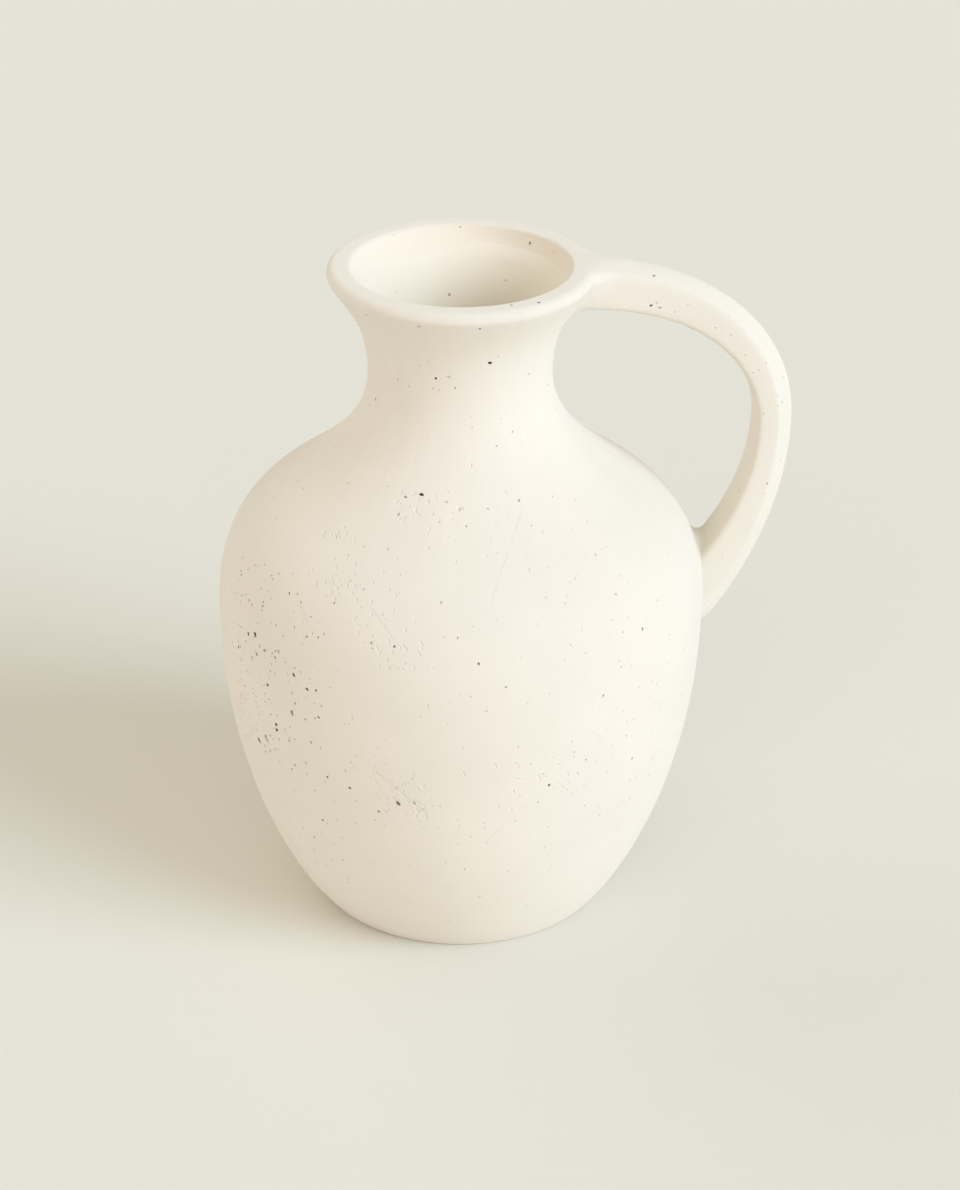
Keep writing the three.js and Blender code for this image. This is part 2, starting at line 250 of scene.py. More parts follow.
def outside_profile(pot):
    """The outside in the plane of radius and height, from the resting face to the lip's flat"""
    spacing = pot.profile_spacing
    up = Vector((0, 1))
    foot_centre = Vector((pot.foot_radius, pot.foot_rounding))
    foot_top = foot_centre + run(pot.foot_slope - math.pi / 2, pot.foot_rounding)
    belly = Vector((pot.belly_radius, pot.belly_rise))
    shoulder = Vector((pot.shoulder_radius, pot.belly_rise + pot.shoulder_rise))
    waist = Vector((pot.neck_radius, shoulder.y + pot.neck_foot_rise))
    top = waist.y + pot.neck_flare_rise
    lip_centre = Vector((pot.lip_radius - pot.lip_rounding, top - pot.lip_rounding))
    lip_start = lip_centre + run(pot.flare_slope - math.pi / 2, pot.lip_rounding)
    shoulder_way = run(math.pi - pot.shoulder_slope, 1)
    foot_way = run(pot.foot_slope, 1)
    flare_way = run(pot.flare_slope, 1)
    quarter = -math.pi / 2
    parts = [
        rounding(foot_centre, pot.foot_rounding, quarter, pot.foot_slope + quarter, FOOT_ROUNDING_STEPS),
        span(foot_top, foot_way, belly, up, pot.belly_rise, FOOT_TO_BELLY, spacing),
        span(belly, up, shoulder, shoulder_way, pot.shoulder_rise, BELLY_TO_SHOULDER, spacing),
        span(shoulder, shoulder_way, waist, up, pot.neck_foot_rise, SHOULDER_TO_WAIST, spacing),
        span(waist, up, lip_start, flare_way, pot.neck_flare_rise, WAIST_TO_LIP, spacing),
        rounding(lip_centre, pot.lip_rounding, pot.flare_slope + quarter, -quarter, LIP_ROUNDING_STEPS),
    ]
    points = [Vector(p) for p in parts[0]]
    for part in parts[1:]:
        points.extend(Vector(p) for p in part[1:])
    return points


def total_height(pot):
    return pot.belly_rise + pot.shoulder_rise + pot.neck_foot_rise + pot.neck_flare_rise


def smooth(value, low, high):
    share = min(max((value - low) / (high - low), 0), 1)
    return share * share * (3 - 2 * share)


def mix(a, b, share):
    return a + (b - a) * share


def wall_at(pot, height):
    waist = pot.belly_rise + pot.shoulder_rise + pot.neck_foot_rise
    return mix(pot.belly_wall, pot.neck_wall, smooth(height, pot.belly_rise, waist))


def offset(profile, depth):
    """The profile moved sideways by depth(height), towards the axis where depth is positive"""
    moved = []
    for i, here in enumerate(profile):
        way = (profile[min(i + 1, len(profile) - 1)] - profile[max(i - 1, 0)]).normalized()
        moved.append(here + Vector((-way.y, way.x)) * depth(here.y))
    return moved


# How far the rings close to a joint lie from it
NEAR_JOINT = 0.1 * MM


def between(profile, low, high):
    """The part of a rising profile between two heights, with a ring close to each end so that
    the shading runs on unbroken into the next piece"""
    first, last = low + NEAR_JOINT, high - NEAR_JOINT
    kept = []
    for a, b in zip(profile, profile[1:]):
        for level in (low, first, last, high):
            if a.y <= level < b.y:
                kept.append(a.lerp(b, (level - a.y) / (b.y - a.y)))
        if first < b.y < last and b.y > a.y:
            kept.append(b.copy())
    return sorted(kept, key=lambda p: p.y)


# Hand work: slow waves that move every piece together, so that joints stay closed

WAVE_LENGTH = 95 * MM
WAVE_HEIGHT = 0.55 * MM
RIPPLE_LENGTH = 24 * MM
RIPPLE_HEIGHT = 0.09 * MM
FOOT_CALM = 12 * MM


def hand_made(spot):
    """A point of the ideal pot, moved as the potter's hands left it"""
    calm = smooth(spot.z, 0, FOOT_CALM)
    wave = noise.noise_vector(spot / WAVE_LENGTH) * WAVE_HEIGHT
    ripple = noise.noise_vector(spot / RIPPLE_LENGTH) * RIPPLE_HEIGHT
    return spot + (wave + ripple) * calm


# Marks in the surface. A mark works on what lies close to its own level, and its outline is
# ragged by a share of its size.

MARK_THICKNESS = 2 * MM
RAGGED = 0.3
RAG_SIZE = 0.7 * MM
OUTSIDE = 9


class Mark:
    """A pit or scratch in the surface: where it lies, how it is turned and how large it is"""

    def __init__(self, centre, normal, down, tilt, size, depth, stain):
        across = down.cross(normal)
        self.centre = hand_made(centre)
        self.normal = normal
        self.along = down * math.cos(tilt) + across * -math.sin(tilt)
        self.side = self.along.cross(normal)
        self.half = size[0] / 2, size[1] / 2
        self.depth = depth
        # How dark its bottom is painted: partly staining, partly painted shade in the hollow
        self.stain = stain

    def reach(self, margin):
        return self.half[0] + margin

    def share(self, spot):
        """How far out a spot lies, 1 at the rim, with a ragged outline"""
        away = spot - self.centre
        ragged = 1 + RAGGED * noise.noise(spot / RAG_SIZE)
        u, v = away.dot(self.along) / self.half[0], away.dot(self.side) / self.half[1]
        close = abs(away.dot(self.normal)) < MARK_THICKNESS
        return math.hypot(u, v) * ragged if close else OUTSIDE

    def near(self, spot, margin):
        away = spot - self.centre
        u = abs(away.dot(self.along)) - self.half[0]
        v = abs(away.dot(self.side)) - self.half[1]
        return u < margin and v < margin and abs(away.dot(self.normal)) < MARK_THICKNESS


def pot_mark(profile, angle, height, tilt, size, depth, stain):
    """A mark on the outside of the pot, at degrees round from the handle and a height in
    millimetres, its length turned by degrees from straight down; sizes in millimetres"""
    height *= MM
    i = next(i for i, p in enumerate(profile) if p.y > height)
    a, b = profile[i - 1], profile[i]
    radius = mix(a.x, b.x, (height - a.y) / (b.y - a.y))
    way = (b - a).normalized()
    out = spoke(angle)
    return Mark(
        out * radius + UP * height,
        out * way.y - UP * way.x,
        -out * way.x - UP * way.y,
        math.radians(tilt),
        (size[0] * MM, size[1] * MM),
        depth * MM,
        stain,
    )


# The clearest pits: degrees round from the handle, height, turn, length, width, depth, and how dark the
# bottom is painted (staining and painted shade)
CLEAR_PITS = (
    (-150, 145, 40, 2.5, 1.6, 1.0, 1.0),
    (-153, 143, 20, 1.7, 1.3, 0.8, 1.0),
    (-160, 148, 10, 2.0, 1.2, 0.6, 1.0),
    (-158, 146, 0, 1.8, 1.3, 0.6, 1.0),
    (-136, 137, 35, 1.9, 1.1, 0.9, 1.0),
    (-132, 133, 75, 1.5, 1.1, 0.9, 1.0),
    (-129.5, 134, 0, 1.1, 1.0, 0.8, 0.9),
    (-137, 119, 15, 2.7, 1.2, 0.7, 0.6),
    (-143, 109, 0, 1.5, 1.6, 0.7, 1.0),
    (-143, 106.5, 0, 1.6, 1.7, 0.8, 1.0),
    (-152, 94, 30, 2.5, 1.7, 0.9, 1.0),
    (-148, 98, 35, 3.9, 1.2, 0.6, 0.5),
    (-129, 122, 60, 1.2, 0.9, 0.6, 0.7),
    (-128, 94, 70, 1.2, 0.9, 0.8, 0.9),
    (-122, 92, 80, 1.3, 1.0, 0.7, 0.7),
    (-132, 69, 80, 1.4, 0.9, 0.8, 0.9),
    (-128, 66, 30, 2.0, 1.5, 1.0, 0.8),
    (-137, 56, 40, 1.1, 0.9, 0.7, 0.7),
    (-110, 89, 25, 2.5, 1.5, 0.9, 0.65),
    (-115, 83, 0, 1.1, 0.9, 0.7, 0.7),
    (-106, 90, 15, 1.8, 0.8, 0.5, 0.4),
    (-145, 126, 20, 1.3, 1.3, 0.7, 1.0),
    (-158, 133, 0, 1.4, 1.2, 0.6, 1.0),
    (-149, 137, 15, 1.4, 1.0, 0.6, 1.0),
    (-146, 141, 0, 1.5, 1.3, 0.5, 0.5),
    (-141, 144, 15, 1.7, 1.0, 0.5, 0.4),
    (-137, 166, 40, 1.2, 0.8, 0.5, 0.3),
    (-119, 197, 0, 1.3, 0.8, 0.5, 0.4),
    (-118.6, 202, 75, 1.5, 0.8, 0.5, 0.5),
    (-112, 203.5, 80, 1.9, 1.2, 0.9, 0.9),
    (-95, 200, -30, 1.8, 0.8, 0.4, 0.25),
    (-101, 202, 70, 1.5, 1.1, 0.4, 0.15),
    (-70, 201, -20, 1.4, 0.8, 0.6, 0.4),
    (-90, 210, 80, 1.2, 0.7, 0.5, 0.3),
    (-74, 96, 0, 1.2, 1.0, 0.7, 0.8),
    (-91, 154, 0, 1.2, 0.9, 0.7, 0.6),
    (-85, 144, 60, 1.0, 0.8, 0.5, 0.4),
    (-61, 132, 0, 1.2, 0.9, 0.6, 0.5),
    (-48, 153, 5, 1.8, 0.9, 0.6, 0.5),
    (-53, 182, 0, 1.7, 0.8, 0.4, 0.2),
    (-100, 175, 75, 1.0, 0.8, 0.5, 0.3),
    (-121, 176, 0, 1.1, 0.8, 0.5, 0.2),
    (-116, 159, 0, 1.1, 0.9, 0.5, 0.4),
    (-110.5, 159, 75, 1.1, 0.9, 0.6, 0.5),
    (-138, 93, 70, 1.1, 0.9, 0.6, 0.6),
    (-139.5, 90, 70, 1.1, 0.9, 0.6, 0.6),
    (-50, 95, 0, 1.2, 0.9, 0.6, 0.5),
    (-78.5, 254, 60, 1.7, 1.3, 0.9, 1.0),
    (-109.5, 247, 0, 1.1, 1.0, 0.7, 0.9),
    (-102, 248, 70, 1.7, 0.8, 0.4, 0.2),
    (-113, 274, 0, 1.2, 0.9, 0.6, 0.5),
    (-140.5, 273, 30, 1.1, 0.9, 0.5, 0.5),
    (-158, 229.5, 20, 1.3, 0.9, 0.5, 0.5),
    (-87, 273.6, 20, 1.1, 0.9, 0.5, 0.8),
)

# Pits round the mouth, on the lip and its band, and lower down in the coat: degrees round from
# the handle, radius, height, how far the surface there leans back from upright, length, and how dark the
# bottom is painted (staining and painted shade)
LIP_PITS = (
    (-70.8, 46.8, 280, 90, 1.2, 0.9),
    (-58.6, 49.8, 280, 80, 1.3, 1.0),
    (44.2, 42.9, 276, 20, 1.2, 0.8),
    (24.8, 43.0, 276.5, 20, 0.8, 0.4),
    (85.3, 43.8, 278.5, 15, 0.9, 0.5),
)
COAT_PITS = (
    (93.8, 30.4, 254.6, 18, 1.3, 0.45),
    (99.6, 40.2, 272.4, 40, 1.1, 0.3),
    (51.4, 33.2, 261.7, 24, 1.0, 0.4),
    (139.5, 31.8, 260.6, 16, 0.9, 0.3),
)

# Fields of smaller marks: how many, the angles and heights they lie between, their turn and its
# spread, shortest and longest, widest, deepest and darkest painted, that darkness being staining and
# painted shade. Small ones are the most common.
SMALL_BIAS = 1.6
WIDTH_SPREAD = 0.7, 1
DEPTH_SPREAD = 0.6, 1
# Spread and bias of how dark the marks are painted, which is staining and painted shade
STAIN_AND_SHADE_SPREAD = 0.25, 1
STAIN_AND_SHADE_BIAS = 1.5
MARK_FIELDS = (
    (120, (-168, -126), (84, 172), (20, 25), (0.7, 1.7), 0.75, 0.5, 0.75),
    (60, (-162, -142), (88, 160), (20, 25), (0.7, 1.5), 0.75, 0.5, 0.8),
    (26, (-160, -118), (30, 75), (30, 40), (0.7, 1.4), 0.75, 0.5, 0.5),
    (280, (-180, 180), (12, 262), (20, 90), (0.6, 1.2), 0.75, 0.45, 0.45),
    (190, (-140, -40), (50, 215), (20, 30), (0.9, 2.4), 0.9, 0.35, 0.05),
    (170, (-20, 200), (30, 215), (20, 60), (0.9, 2.2), 0.8, 0.32, 0.06),
)

# Bands where grit was dragged over the wet clay and left rows of nicks: how many, from one angle
# and height to another, and how far they stray in angle and height
NICK_TURN = 25, 40
NICK_LONG = 1, 3
NICK_WIDE = 0.6, 1.2
NICK_DEEP = 0.15, 0.35
# How dark the nicks are painted: staining and painted shade
NICK_STAIN_AND_SHADE = 0, 0.03
DRAG_BANDS = (
    (70, (-137, 186), (-104, 150), (4, 5)),
    (55, (-119, 108), (-101, 82), (3.5, 3.5)),
    (24, (-118, 204), (-94, 196), (4, 3)),
    (20, (-82, 104), (-62, 92), (5, 5)),
)

# Scratches as runs from one angle and height to another, with width and depth. Each runs on past
# its ends a little, so that they join.
SCRATCH_REACH = 0.6
# How dark the scratches are painted: staining and painted shade in the groove
SCRATCH_STAIN_AND_SHADE = 0.06
SCRATCHES = (
    ((-70, 199), (-78.5, 190), 0.45, 0.09),
    ((-78.5, 190), (-84.5, 182), 0.45, 0.1),
    ((-84.5, 182), (-88, 173.5), 0.45, 0.09),
    ((-138, 166.5), (-133.5, 160.5), 0.8, 0.08),
    ((-90, 68), (-85, 78), 0.5, 0.1),
    ((-115.5, 104), (-110, 96), 1.3, 0.09),
    ((-110, 96), (-103, 85), 1.5, 0.1),
    ((-118, 172), (-110, 161), 0.9, 0.04),
    ((-64, 118), (-60, 110), 0.5, 0.07),
)

# Pits of the strap: share of its way, number of the section's corner, length, width, depth, and how dark
# the bottom is painted (staining and painted shade)
STRAP_PITS = (
    (0.098, 6, 1.3, 1.0, 0.6, 0.7),
    (0.104, 59, 1.4, 1.0, 0.6, 0.7),
    (0.111, 60, 1.0, 0.7, 0.4, 0.3),
    (0.119, 59, 1.3, 0.8, 0.4, 0.35),
    (0.192, 54, 1.4, 1.0, 0.5, 0.5),
    (0.261, 61, 1.0, 0.8, 0.4, 0.15),
    (0.315, 60, 0.9, 0.7, 0.4, 0.1),
    (0.456, 7, 1.3, 0.8, 0.4, 0.3),
    (0.6, 0, 1.2, 0.9, 0.5, 0.25),
    (0.632, 51, 1.3, 0.9, 0.5, 0.5),
)
STRAP_FIELD = 40
STRAP_FIELD_SHARES = 0.13, 0.64
STRAP_FIELD_LONG = 0.6, 1
STRAP_FIELD_DEEP = 0.35
# How dark the strap's field of pits is painted: staining and painted shade
STRAP_FIELD_STAIN_AND_SHADE = 0.05, 0.3

# Turn of the pits on strap and mouth, their width and depth as shares of their length, and how
# far ahead on the strap the look is that gives its direction
PIT_TURN = 0.5
PIT_AHEAD = 0.01
PIT_WIDTH = 0.75
PIT_DEPTH = 0.35
POT_SEED = 7
STRAP_SEED = 11


def surface_marks(profile):
    """Every mark of the pot's outside"""
    chance = random.Random(POT_SEED)
    marks = [
        pot_mark(profile, angle, height, turn, (long, wide), deep, stain)
        for angle, height, turn, long, wide, deep, stain in CLEAR_PITS
    ]
    for number, angles, heights, turns, longs, widest, deepest, stained_and_shaded in MARK_FIELDS:
        for _ in range(number):
            long = mix(*longs, chance.random() ** SMALL_BIAS)
            angle, height = chance.uniform(*angles), chance.uniform(*heights)
            turn = chance.gauss(*turns)
            wide = widest * chance.uniform(*WIDTH_SPREAD)
            deep = deepest * chance.uniform(*DEPTH_SPREAD)
            stain = stained_and_shaded * chance.uniform(*STAIN_AND_SHADE_SPREAD) ** STAIN_AND_SHADE_BIAS
            marks.append(pot_mark(profile, angle, height, turn, (long, wide), deep, stain))
    for number, start, end, (angle_spread, height_spread) in DRAG_BANDS:
        for _ in range(number):
            along = chance.random()
            angle = mix(start[0], end[0], along) + chance.gauss(0, angle_spread)
            height = mix(start[1], end[1], along) + chance.gauss(0, height_spread)
            turn = chance.gauss(*NICK_TURN)
            size = chance.uniform(*NICK_LONG), chance.uniform(*NICK_WIDE)
            deep, stain = chance.uniform(*NICK_DEEP), chance.uniform(*NICK_STAIN_AND_SHADE)
            marks.append(pot_mark(profile, angle, height, turn, size, deep, stain))
    for start, end, wide, deep in SCRATCHES:
        halfway = [(a + b) / 2 for a, b in zip(start, end)]
        middle = pot_mark(profile, *halfway, 0, (1, 1), deep, SCRATCH_STAIN_AND_SHADE)
        first, last = (pot_mark(profile, *spot, 0, (1, 1), deep, 0).centre for spot in (start, end))
        middle.half = (last - first).length * SCRATCH_REACH, wide * MM / 2
        middle.along = (last - first).normalized()
        middle.side = middle.along.cross(middle.normal)
        marks.append(middle)
    return marks


def mouth_marks(pits):
    """Marks on the surfaces that face up or towards the axis"""
    marks = []
    for angle, radius, height, lean, long, stain in pits:
        out = spoke(angle)
        normal = UP * math.sin(math.radians(lean)) - out * math.cos(math.radians(lean))
        down = normal.cross(UP.cross(out))
        centre = (out * radius + UP * height) * MM
        size = long * MM, long * PIT_WIDTH * MM
        marks.append(Mark(centre, normal, down, PIT_TURN, size, long * PIT_DEPTH * MM, stain))
    return marks


def strap_marks(strap, corners):
    """Every mark of the strap between its rolls"""
    chance = random.Random(STRAP_SEED)
    wanted = list(STRAP_PITS)
    for _ in range(STRAP_FIELD):
        share, corner = chance.uniform(*STRAP_FIELD_SHARES), chance.randrange(len(corners))
        long, stain = chance.uniform(*STRAP_FIELD_LONG), chance.uniform(*STRAP_FIELD_STAIN_AND_SHADE)
        wanted.append((share, corner, long, long * PIT_WIDTH, STRAP_FIELD_DEEP, stain))
    marks = []
    for share, corner, long, wide, deep, stain in wanted:
        spot = strap.spot(share, corners[corner])
        down = (strap.spot(share + PIT_AHEAD, corners[corner]) - spot).normalized()
        normal = section_normal(strap, share, corners, corner)
        size = long * MM, wide * MM
        marks.append(Mark(spot, normal, down, PIT_TURN, size, deep * MM, stain))
    return marks


# How far a mark's middle keeps from the edge of its piece
MARK_CLEARANCE = 2.5 * MM


def marks_between(marks, low, high):
    return [m for m in marks if low + MARK_CLEARANCE < m.centre.z < high - MARK_CLEARANCE]


def find_by_place(bm):
    """The vertices of a mesh, and a tree that finds them by their place"""
    verts = list(bm.verts)
    tree = kdtree.KDTree(len(verts))
    for i, vert in enumerate(verts):
        tree.insert(vert.co, i)
    tree.balance()
    return verts, tree


# Steps of the refining, in millimetres: the margin round a mark and the longest edge left in it
MARK_LEVELS = ((1.5, 1.3), (0.8, 0.7), (0.4, 0.36), (0.2, 0.2))

# A mark is deep up to the first share of the way out and level from the second, and how dark it
# is painted, staining and painted shade in its hollow, fades between the others
DEEP_TO_LEVEL = 0.5, 1.1
STAINED_AND_SHADED_TO_CLEAN = 0.75, 1.15
PRESS_MARGIN = 0.5 * MM


def press_marks(bm, marks):
    """Refine the mesh round each mark, step by step, then press the marks into it"""
    for margin, longest in MARK_LEVELS:
        verts, tree = find_by_place(bm)
        edges, used = {}, []
        for mark in marks:
            touched = False
            for _, i, _ in tree.find_range(mark.centre, mark.reach(margin * MM * 2)):
                for edge in verts[i].link_edges:
                    if edge.calc_length() < longest * MM:
                        touched = True
                        continue
                    a, b = edge.verts[0].co, edge.verts[1].co
                    if any(mark.near(spot, margin * MM) for spot in (a, b, (a + b) / 2)):
                        edges[edge] = touched = True
            if touched:
                used.append(mark)
        marks = used
        if edges:
            bmesh.ops.subdivide_edges(bm, edges=list(edges), cuts=1, use_grid_fill=True)
    # Each vertex carries how dark it is painted: staining at the bottom of a mark and painted shade in
    # its hollow
    stain = bm.verts.layers.float.new("stain")
    verts, tree = find_by_place(bm)
    for mark in marks:
        for spot, i, _ in tree.find_range(mark.centre, mark.reach(PRESS_MARGIN)):
            share = mark.share(spot)
            pressed = 1 - smooth(share, *DEEP_TO_LEVEL)
            if pressed > 0:
                verts[i].co -= mark.normal * mark.depth * pressed
                stained_and_shaded = mark.stain * (1 - smooth(share, *STAINED_AND_SHADED_TO_CLEAN))
                verts[i][stain] = max(verts[i][stain], stained_and_shaded)


# Meshes

SHARP = math.radians(50)
SAME_PLACE = 1e-6


def finish_piece(bm, node, material):
    """A piece of the vase from a bmesh: smooth, facing out, riding on the part"""
    name = node + "_looks"
    bmesh.ops.remove_doubles(bm, verts=bm.verts, dist=SAME_PLACE)
    bmesh.ops.recalc_face_normals(bm, faces=bm.faces)
    for edge in bm.edges:
        edge.smooth = not edge.is_manifold or edge.calc_face_angle(0) < SHARP
    for face in bm.faces:
        face.smooth = True
    mesh = bpy.data.meshes.new(name)
    bm.to_mesh(mesh)
    bm.free()
    piece = bpy.data.objects.new(name, mesh)
    bpy.context.scene.collection.objects.link(piece)
    mesh.materials.append(material)
    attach(piece, "root")
    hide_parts(node)


def turned(profile, steps, closed=True):
    """A mesh spun from a profile in the plane of radius and height"""
    bm = bmesh.new()
    verts = [bm.verts.new((p.x, 0, p.y)) for p in profile]
    edges = [bm.edges.new(pair) for pair in zip(verts, verts[1:])]
    if closed:
        edges.append(bm.edges.new((verts[-1], verts[0])))
    bmesh.ops.spin(
        bm, geom=verts + edges, cent=(0, 0, 0), axis=UP, angle=math.tau, steps=steps, use_merge=True
    )
    bmesh.ops.remove_doubles(bm, verts=bm.verts, dist=SAME_PLACE)
    return bm


def shape_by_hand(bm):
    for vert in bm.verts:
        vert.co = hand_made(vert.co)


# Where round the mouth the step starts to fade and where it is gone, as 1 - cos(angle)
WIPED_AWAY = 0.4, 1.5


def wipe_band(bm, pot):
    """Away from the handle the step under the band was wiped out: there the band slopes in and
    runs on into the wall below it. The wiping left a film of glaze on the band."""
    film = bm.verts.layers.float.new("film")
    top = total_height(pot)
    step = top - pot.band_depth
    for vert in bm.verts:
        x, y, z = vert.co
        radius = math.hypot(x, y)
        if z < step - pot.wipe_run or radius > pot.mouth_radius + pot.mouth_rounding:
            continue
        fading = (top - z) / pot.band_depth if z > step else 1 - smooth(step - z, 0, pot.wipe_run)
        inward = pot.wipe_depth * smooth(1 - x / radius, *WIPED_AWAY) * fading / radius
        vert.co -= Vector((x, y, 0)) * inward
        vert[film] = smooth(top - z, 0, pot.mouth_rounding)


# The strap. A share of its way is 0 at the lip and 1 at the belly, and its line runs straight on
# past both. The others are the steps of a walk along it, how often a search halves its range,
# and where the search beside the lip starts.

BEND = 0.5
ROOT_OVERRUN = -0.05
FOOT_OVERRUN = 1.15
STRIDE = 0.001
HALVINGS = 26
LIP_SEARCH = 0.25


def strap_line(pot, strap):
    """The four knots of the upper and the lower half of the strap's middle line"""
    middle = (strap.root_body + strap.root_crown) / 2
    root = Vector((pot.lip_radius - strap.root_inset, 0, total_height(pot) - middle))
    bend = Vector((pot.belly_radius + strap.stand_off, 0, strap.bend_height))
    foot = Vector((pot.belly_radius - strap.foot_inset, 0, strap.foot_height))
    foot_way = Vector((math.cos(strap.foot_slope), 0, math.sin(strap.foot_slope)))
    return (
        (root, root + Vector((strap.pull_root, 0, 0)), bend + UP * strap.pull_over, bend),
        (bend, bend - UP * strap.pull_under, foot + foot_way * strap.pull_foot, foot),
    )


def curve_point(knots, t):
    a, b, c, d = knots
    s = 1 - t
    return a * s**3 + b * 3 * s * s * t + c * 3 * s * t * t + d * t**3


def curve_way(knots, t):
    a, b, c, d = knots
    s = 1 - t
    return ((b - a) * s * s + (c - b) * 2 * s * t + (d - c) * t * t).normalized()


def curve_length(knots, steps=64):
    points = [curve_point(knots, i / steps) for i in range(steps + 1)]
    return sum((b - a).length for a, b in zip(points, points[1:]))


class Strap:
    """The strap's surface: points of its section carried along its line"""

    def __init__(self, pot, strap):
        self.lines = strap_line(pot, strap)
        self.lengths = [curve_length(line) for line in self.lines]
        self.sizes = [
            (strap.root_body, strap.root_crown, strap.root_width),
            (strap.bend_body, strap.bend_crown, strap.bend_width),
            (strap.foot_body, strap.foot_crown, strap.foot_width),
        ]

    def at(self, share):
        """Place, outward direction, body, crown and width at a share of the way"""
        half = 0 if share < BEND else 1
        wanted = share * 2 - half
        along = min(max(wanted, 0), 1)
        line = self.lines[half]
        way = curve_way(line, along)
        place = curve_point(line, along) + way * (wanted - along) * self.lengths[half]
        ease = smooth(along, 0, 1)
        sizes = [mix(a, b, ease) for a, b in zip(self.sizes[half], self.sizes[half + 1])]
        return place, Vector((-way.z, 0, way.x)), *sizes

    def spot(self, share, corner):
        """The point of a section corner (out, swell, across) at a share of the way"""
        out, swell, across = corner
        place, outward, body, crown, width = self.at(share)
        lift = out * body + swell * crown - crown / 2
        return place + outward * lift + Vector((0, across * width, 0))


# The section, as shares of its body and width: how far its corners are rounded, and how far out
# the curve of its swelling outer face is pulled
SECTION_EDGE = 0.5
SECTION_CORNER = 0.18
SECTION_CROWN_PULL = 2.5
SECTION_CORNER_STEPS = 7
SECTION_CROWN_STEPS = 16
SECTION_SIDE_STEPS = 6
SECTION_FACE_STEPS = 8
SECTION_SOFTENING = 6


def quadratic(a, b, c, steps):
    shares = [i / steps for i in range(steps)]
    return [a * (1 - t) ** 2 + b * 2 * t * (1 - t) + c * t * t for t in shares]


def section_corners():
    """The strap's section as corners (out, swell, across): out and across run from -0.5 to 0.5,
    and swell lifts the outer face by shares of its crown"""
    edge = SECTION_EDGE
    near = edge - SECTION_CORNER
    rounded, sides, inner = SECTION_CORNER_STEPS, SECTION_SIDE_STEPS, SECTION_FACE_STEPS
    at = lambda out, across: Vector((out, across))
    points = quadratic(at(near, -edge), at(edge, -edge), at(edge, -near), rounded)
    crown = at(SECTION_CROWN_PULL, 0)
    points += quadratic(at(edge, -near), crown, at(edge, near), SECTION_CROWN_STEPS)
    points += quadratic(at(edge, near), at(edge, edge), at(near, edge), rounded)
    points += [at(mix(near, -near, i / sides), edge) for i in range(sides)]
    points += quadratic(at(-near, edge), at(-edge, edge), at(-edge, near), rounded)
    points += [at(-edge, mix(near, -near, i / inner)) for i in range(inner)]
    points += quadratic(at(-edge, -near), at(-edge, -edge), at(-near, -edge), rounded)
    points += [at(mix(-near, near, i / sides), -edge) for i in range(sides)]
    corners = [Vector((min(p.x, edge), max(p.x - edge, 0), p.y)) for p in points]
    for _ in range(SECTION_SOFTENING):
        before, after = [corners[-1], *corners[:-1]], [*corners[1:], corners[0]]
        corners = [(a + here * 2 + b) / 4 for a, here, b in zip(before, corners, after)]
    return corners


class PotSurface:
    """Nearest points of the pot's outside"""

    def __init__(self, profile):
        points = np.array([(p.x, p.y) for p in profile])
        self.start = points[:-1]
        self.run = points[1:] - points[:-1]
        self.square = (self.run**2).sum(1)

    def nearest(self, spot):
        """How far a point lies outside the pot, and the direction out of the pot there"""
        radius = math.hypot(spot.x, spot.y)
        reach = np.array((radius, spot.z)) - self.start
        share = np.clip((reach * self.run).sum(1) / self.square, 0, 1)
        away = reach - self.run * share[:, None]
        far = np.hypot(away[:, 0], away[:, 1])
        i = int(far.argmin())
        side = math.copysign(1, self.run[i][1] * reach[i][0] - self.run[i][0] * reach[i][1])
        out = Vector(away[i]).normalized() * side
        round_out = Vector((spot.x, spot.y, 0)).normalized() * out.x + UP * out.y
        return float(far[i]) * side, round_out


def leaves_pot(strap, surface, end):
    """The share of the way at which the strap's middle line leaves the pot"""
    stride = STRIDE if end < BEND else -STRIDE
    share = end
    while surface.nearest(strap.at(share)[0])[0] < 0:
        share += stride
    return share


def share_past(strap, share, reach):
    """The share that lies a length further along the strap, towards its bend"""
    stride = STRIDE if share < BEND else -STRIDE
    walked = 0
    while walked < reach:
        walked += (strap.at(share)[0] - strap.at(share + stride)[0]).length
        share += stride
    return share


def roll_joints(strap, surface, sizes):
    """The shares of the way at which the strap comes out of its two rolls"""
    root = share_past(strap, leaves_pot(strap, surface, 0), sizes.root_bed_length)
    return root, share_past(strap, leaves_pot(strap, surface, 1), sizes.foot_bed_length)


def section_normal(strap, share, corners, index):
    """The direction out of the strap's section at one of its corners"""
    before = strap.spot(share, corners[index - 1])
    after = strap.spot(share, corners[(index + 1) % len(corners)])
    outward = strap.at(share)[1]
    across, lift = (after - before).y, (after - before).dot(outward)
    return (outward * across - Vector((0, lift, 0))).normalized()


def share_of(test, far, near):
    """The share between two at which a test that holds at the far one stops holding"""
    for _ in range(HALVINGS):
        share = (far + near) / 2
        if test(share):
            far = share
        else:
            near = share
    return far


def arc_over_hollow(strap, surface, corners, index, end, radius, steps):
    """The share where the hollow starts, and the arc of a ball that touches strap and pot"""

    def ball(share):
        normal = section_normal(strap, share, corners, index)
        return strap.spot(share, corners[index]) + normal * radius

    start = share_of(lambda share: surface.nearest(ball(share))[0] > radius, BEND, end)
    middle = ball(start)
    to_strap = (strap.spot(start, corners[index]) - middle).normalized()
    to_pot = -surface.nearest(middle)[1]
    axis, angle = to_strap.rotation_difference(to_pot).to_axis_angle()
    arc = [
        middle + Matrix.Rotation(angle * i / steps, 3, axis) @ to_strap * radius
        for i in range(steps + 1)
    ]
    return start, arc, to_pot


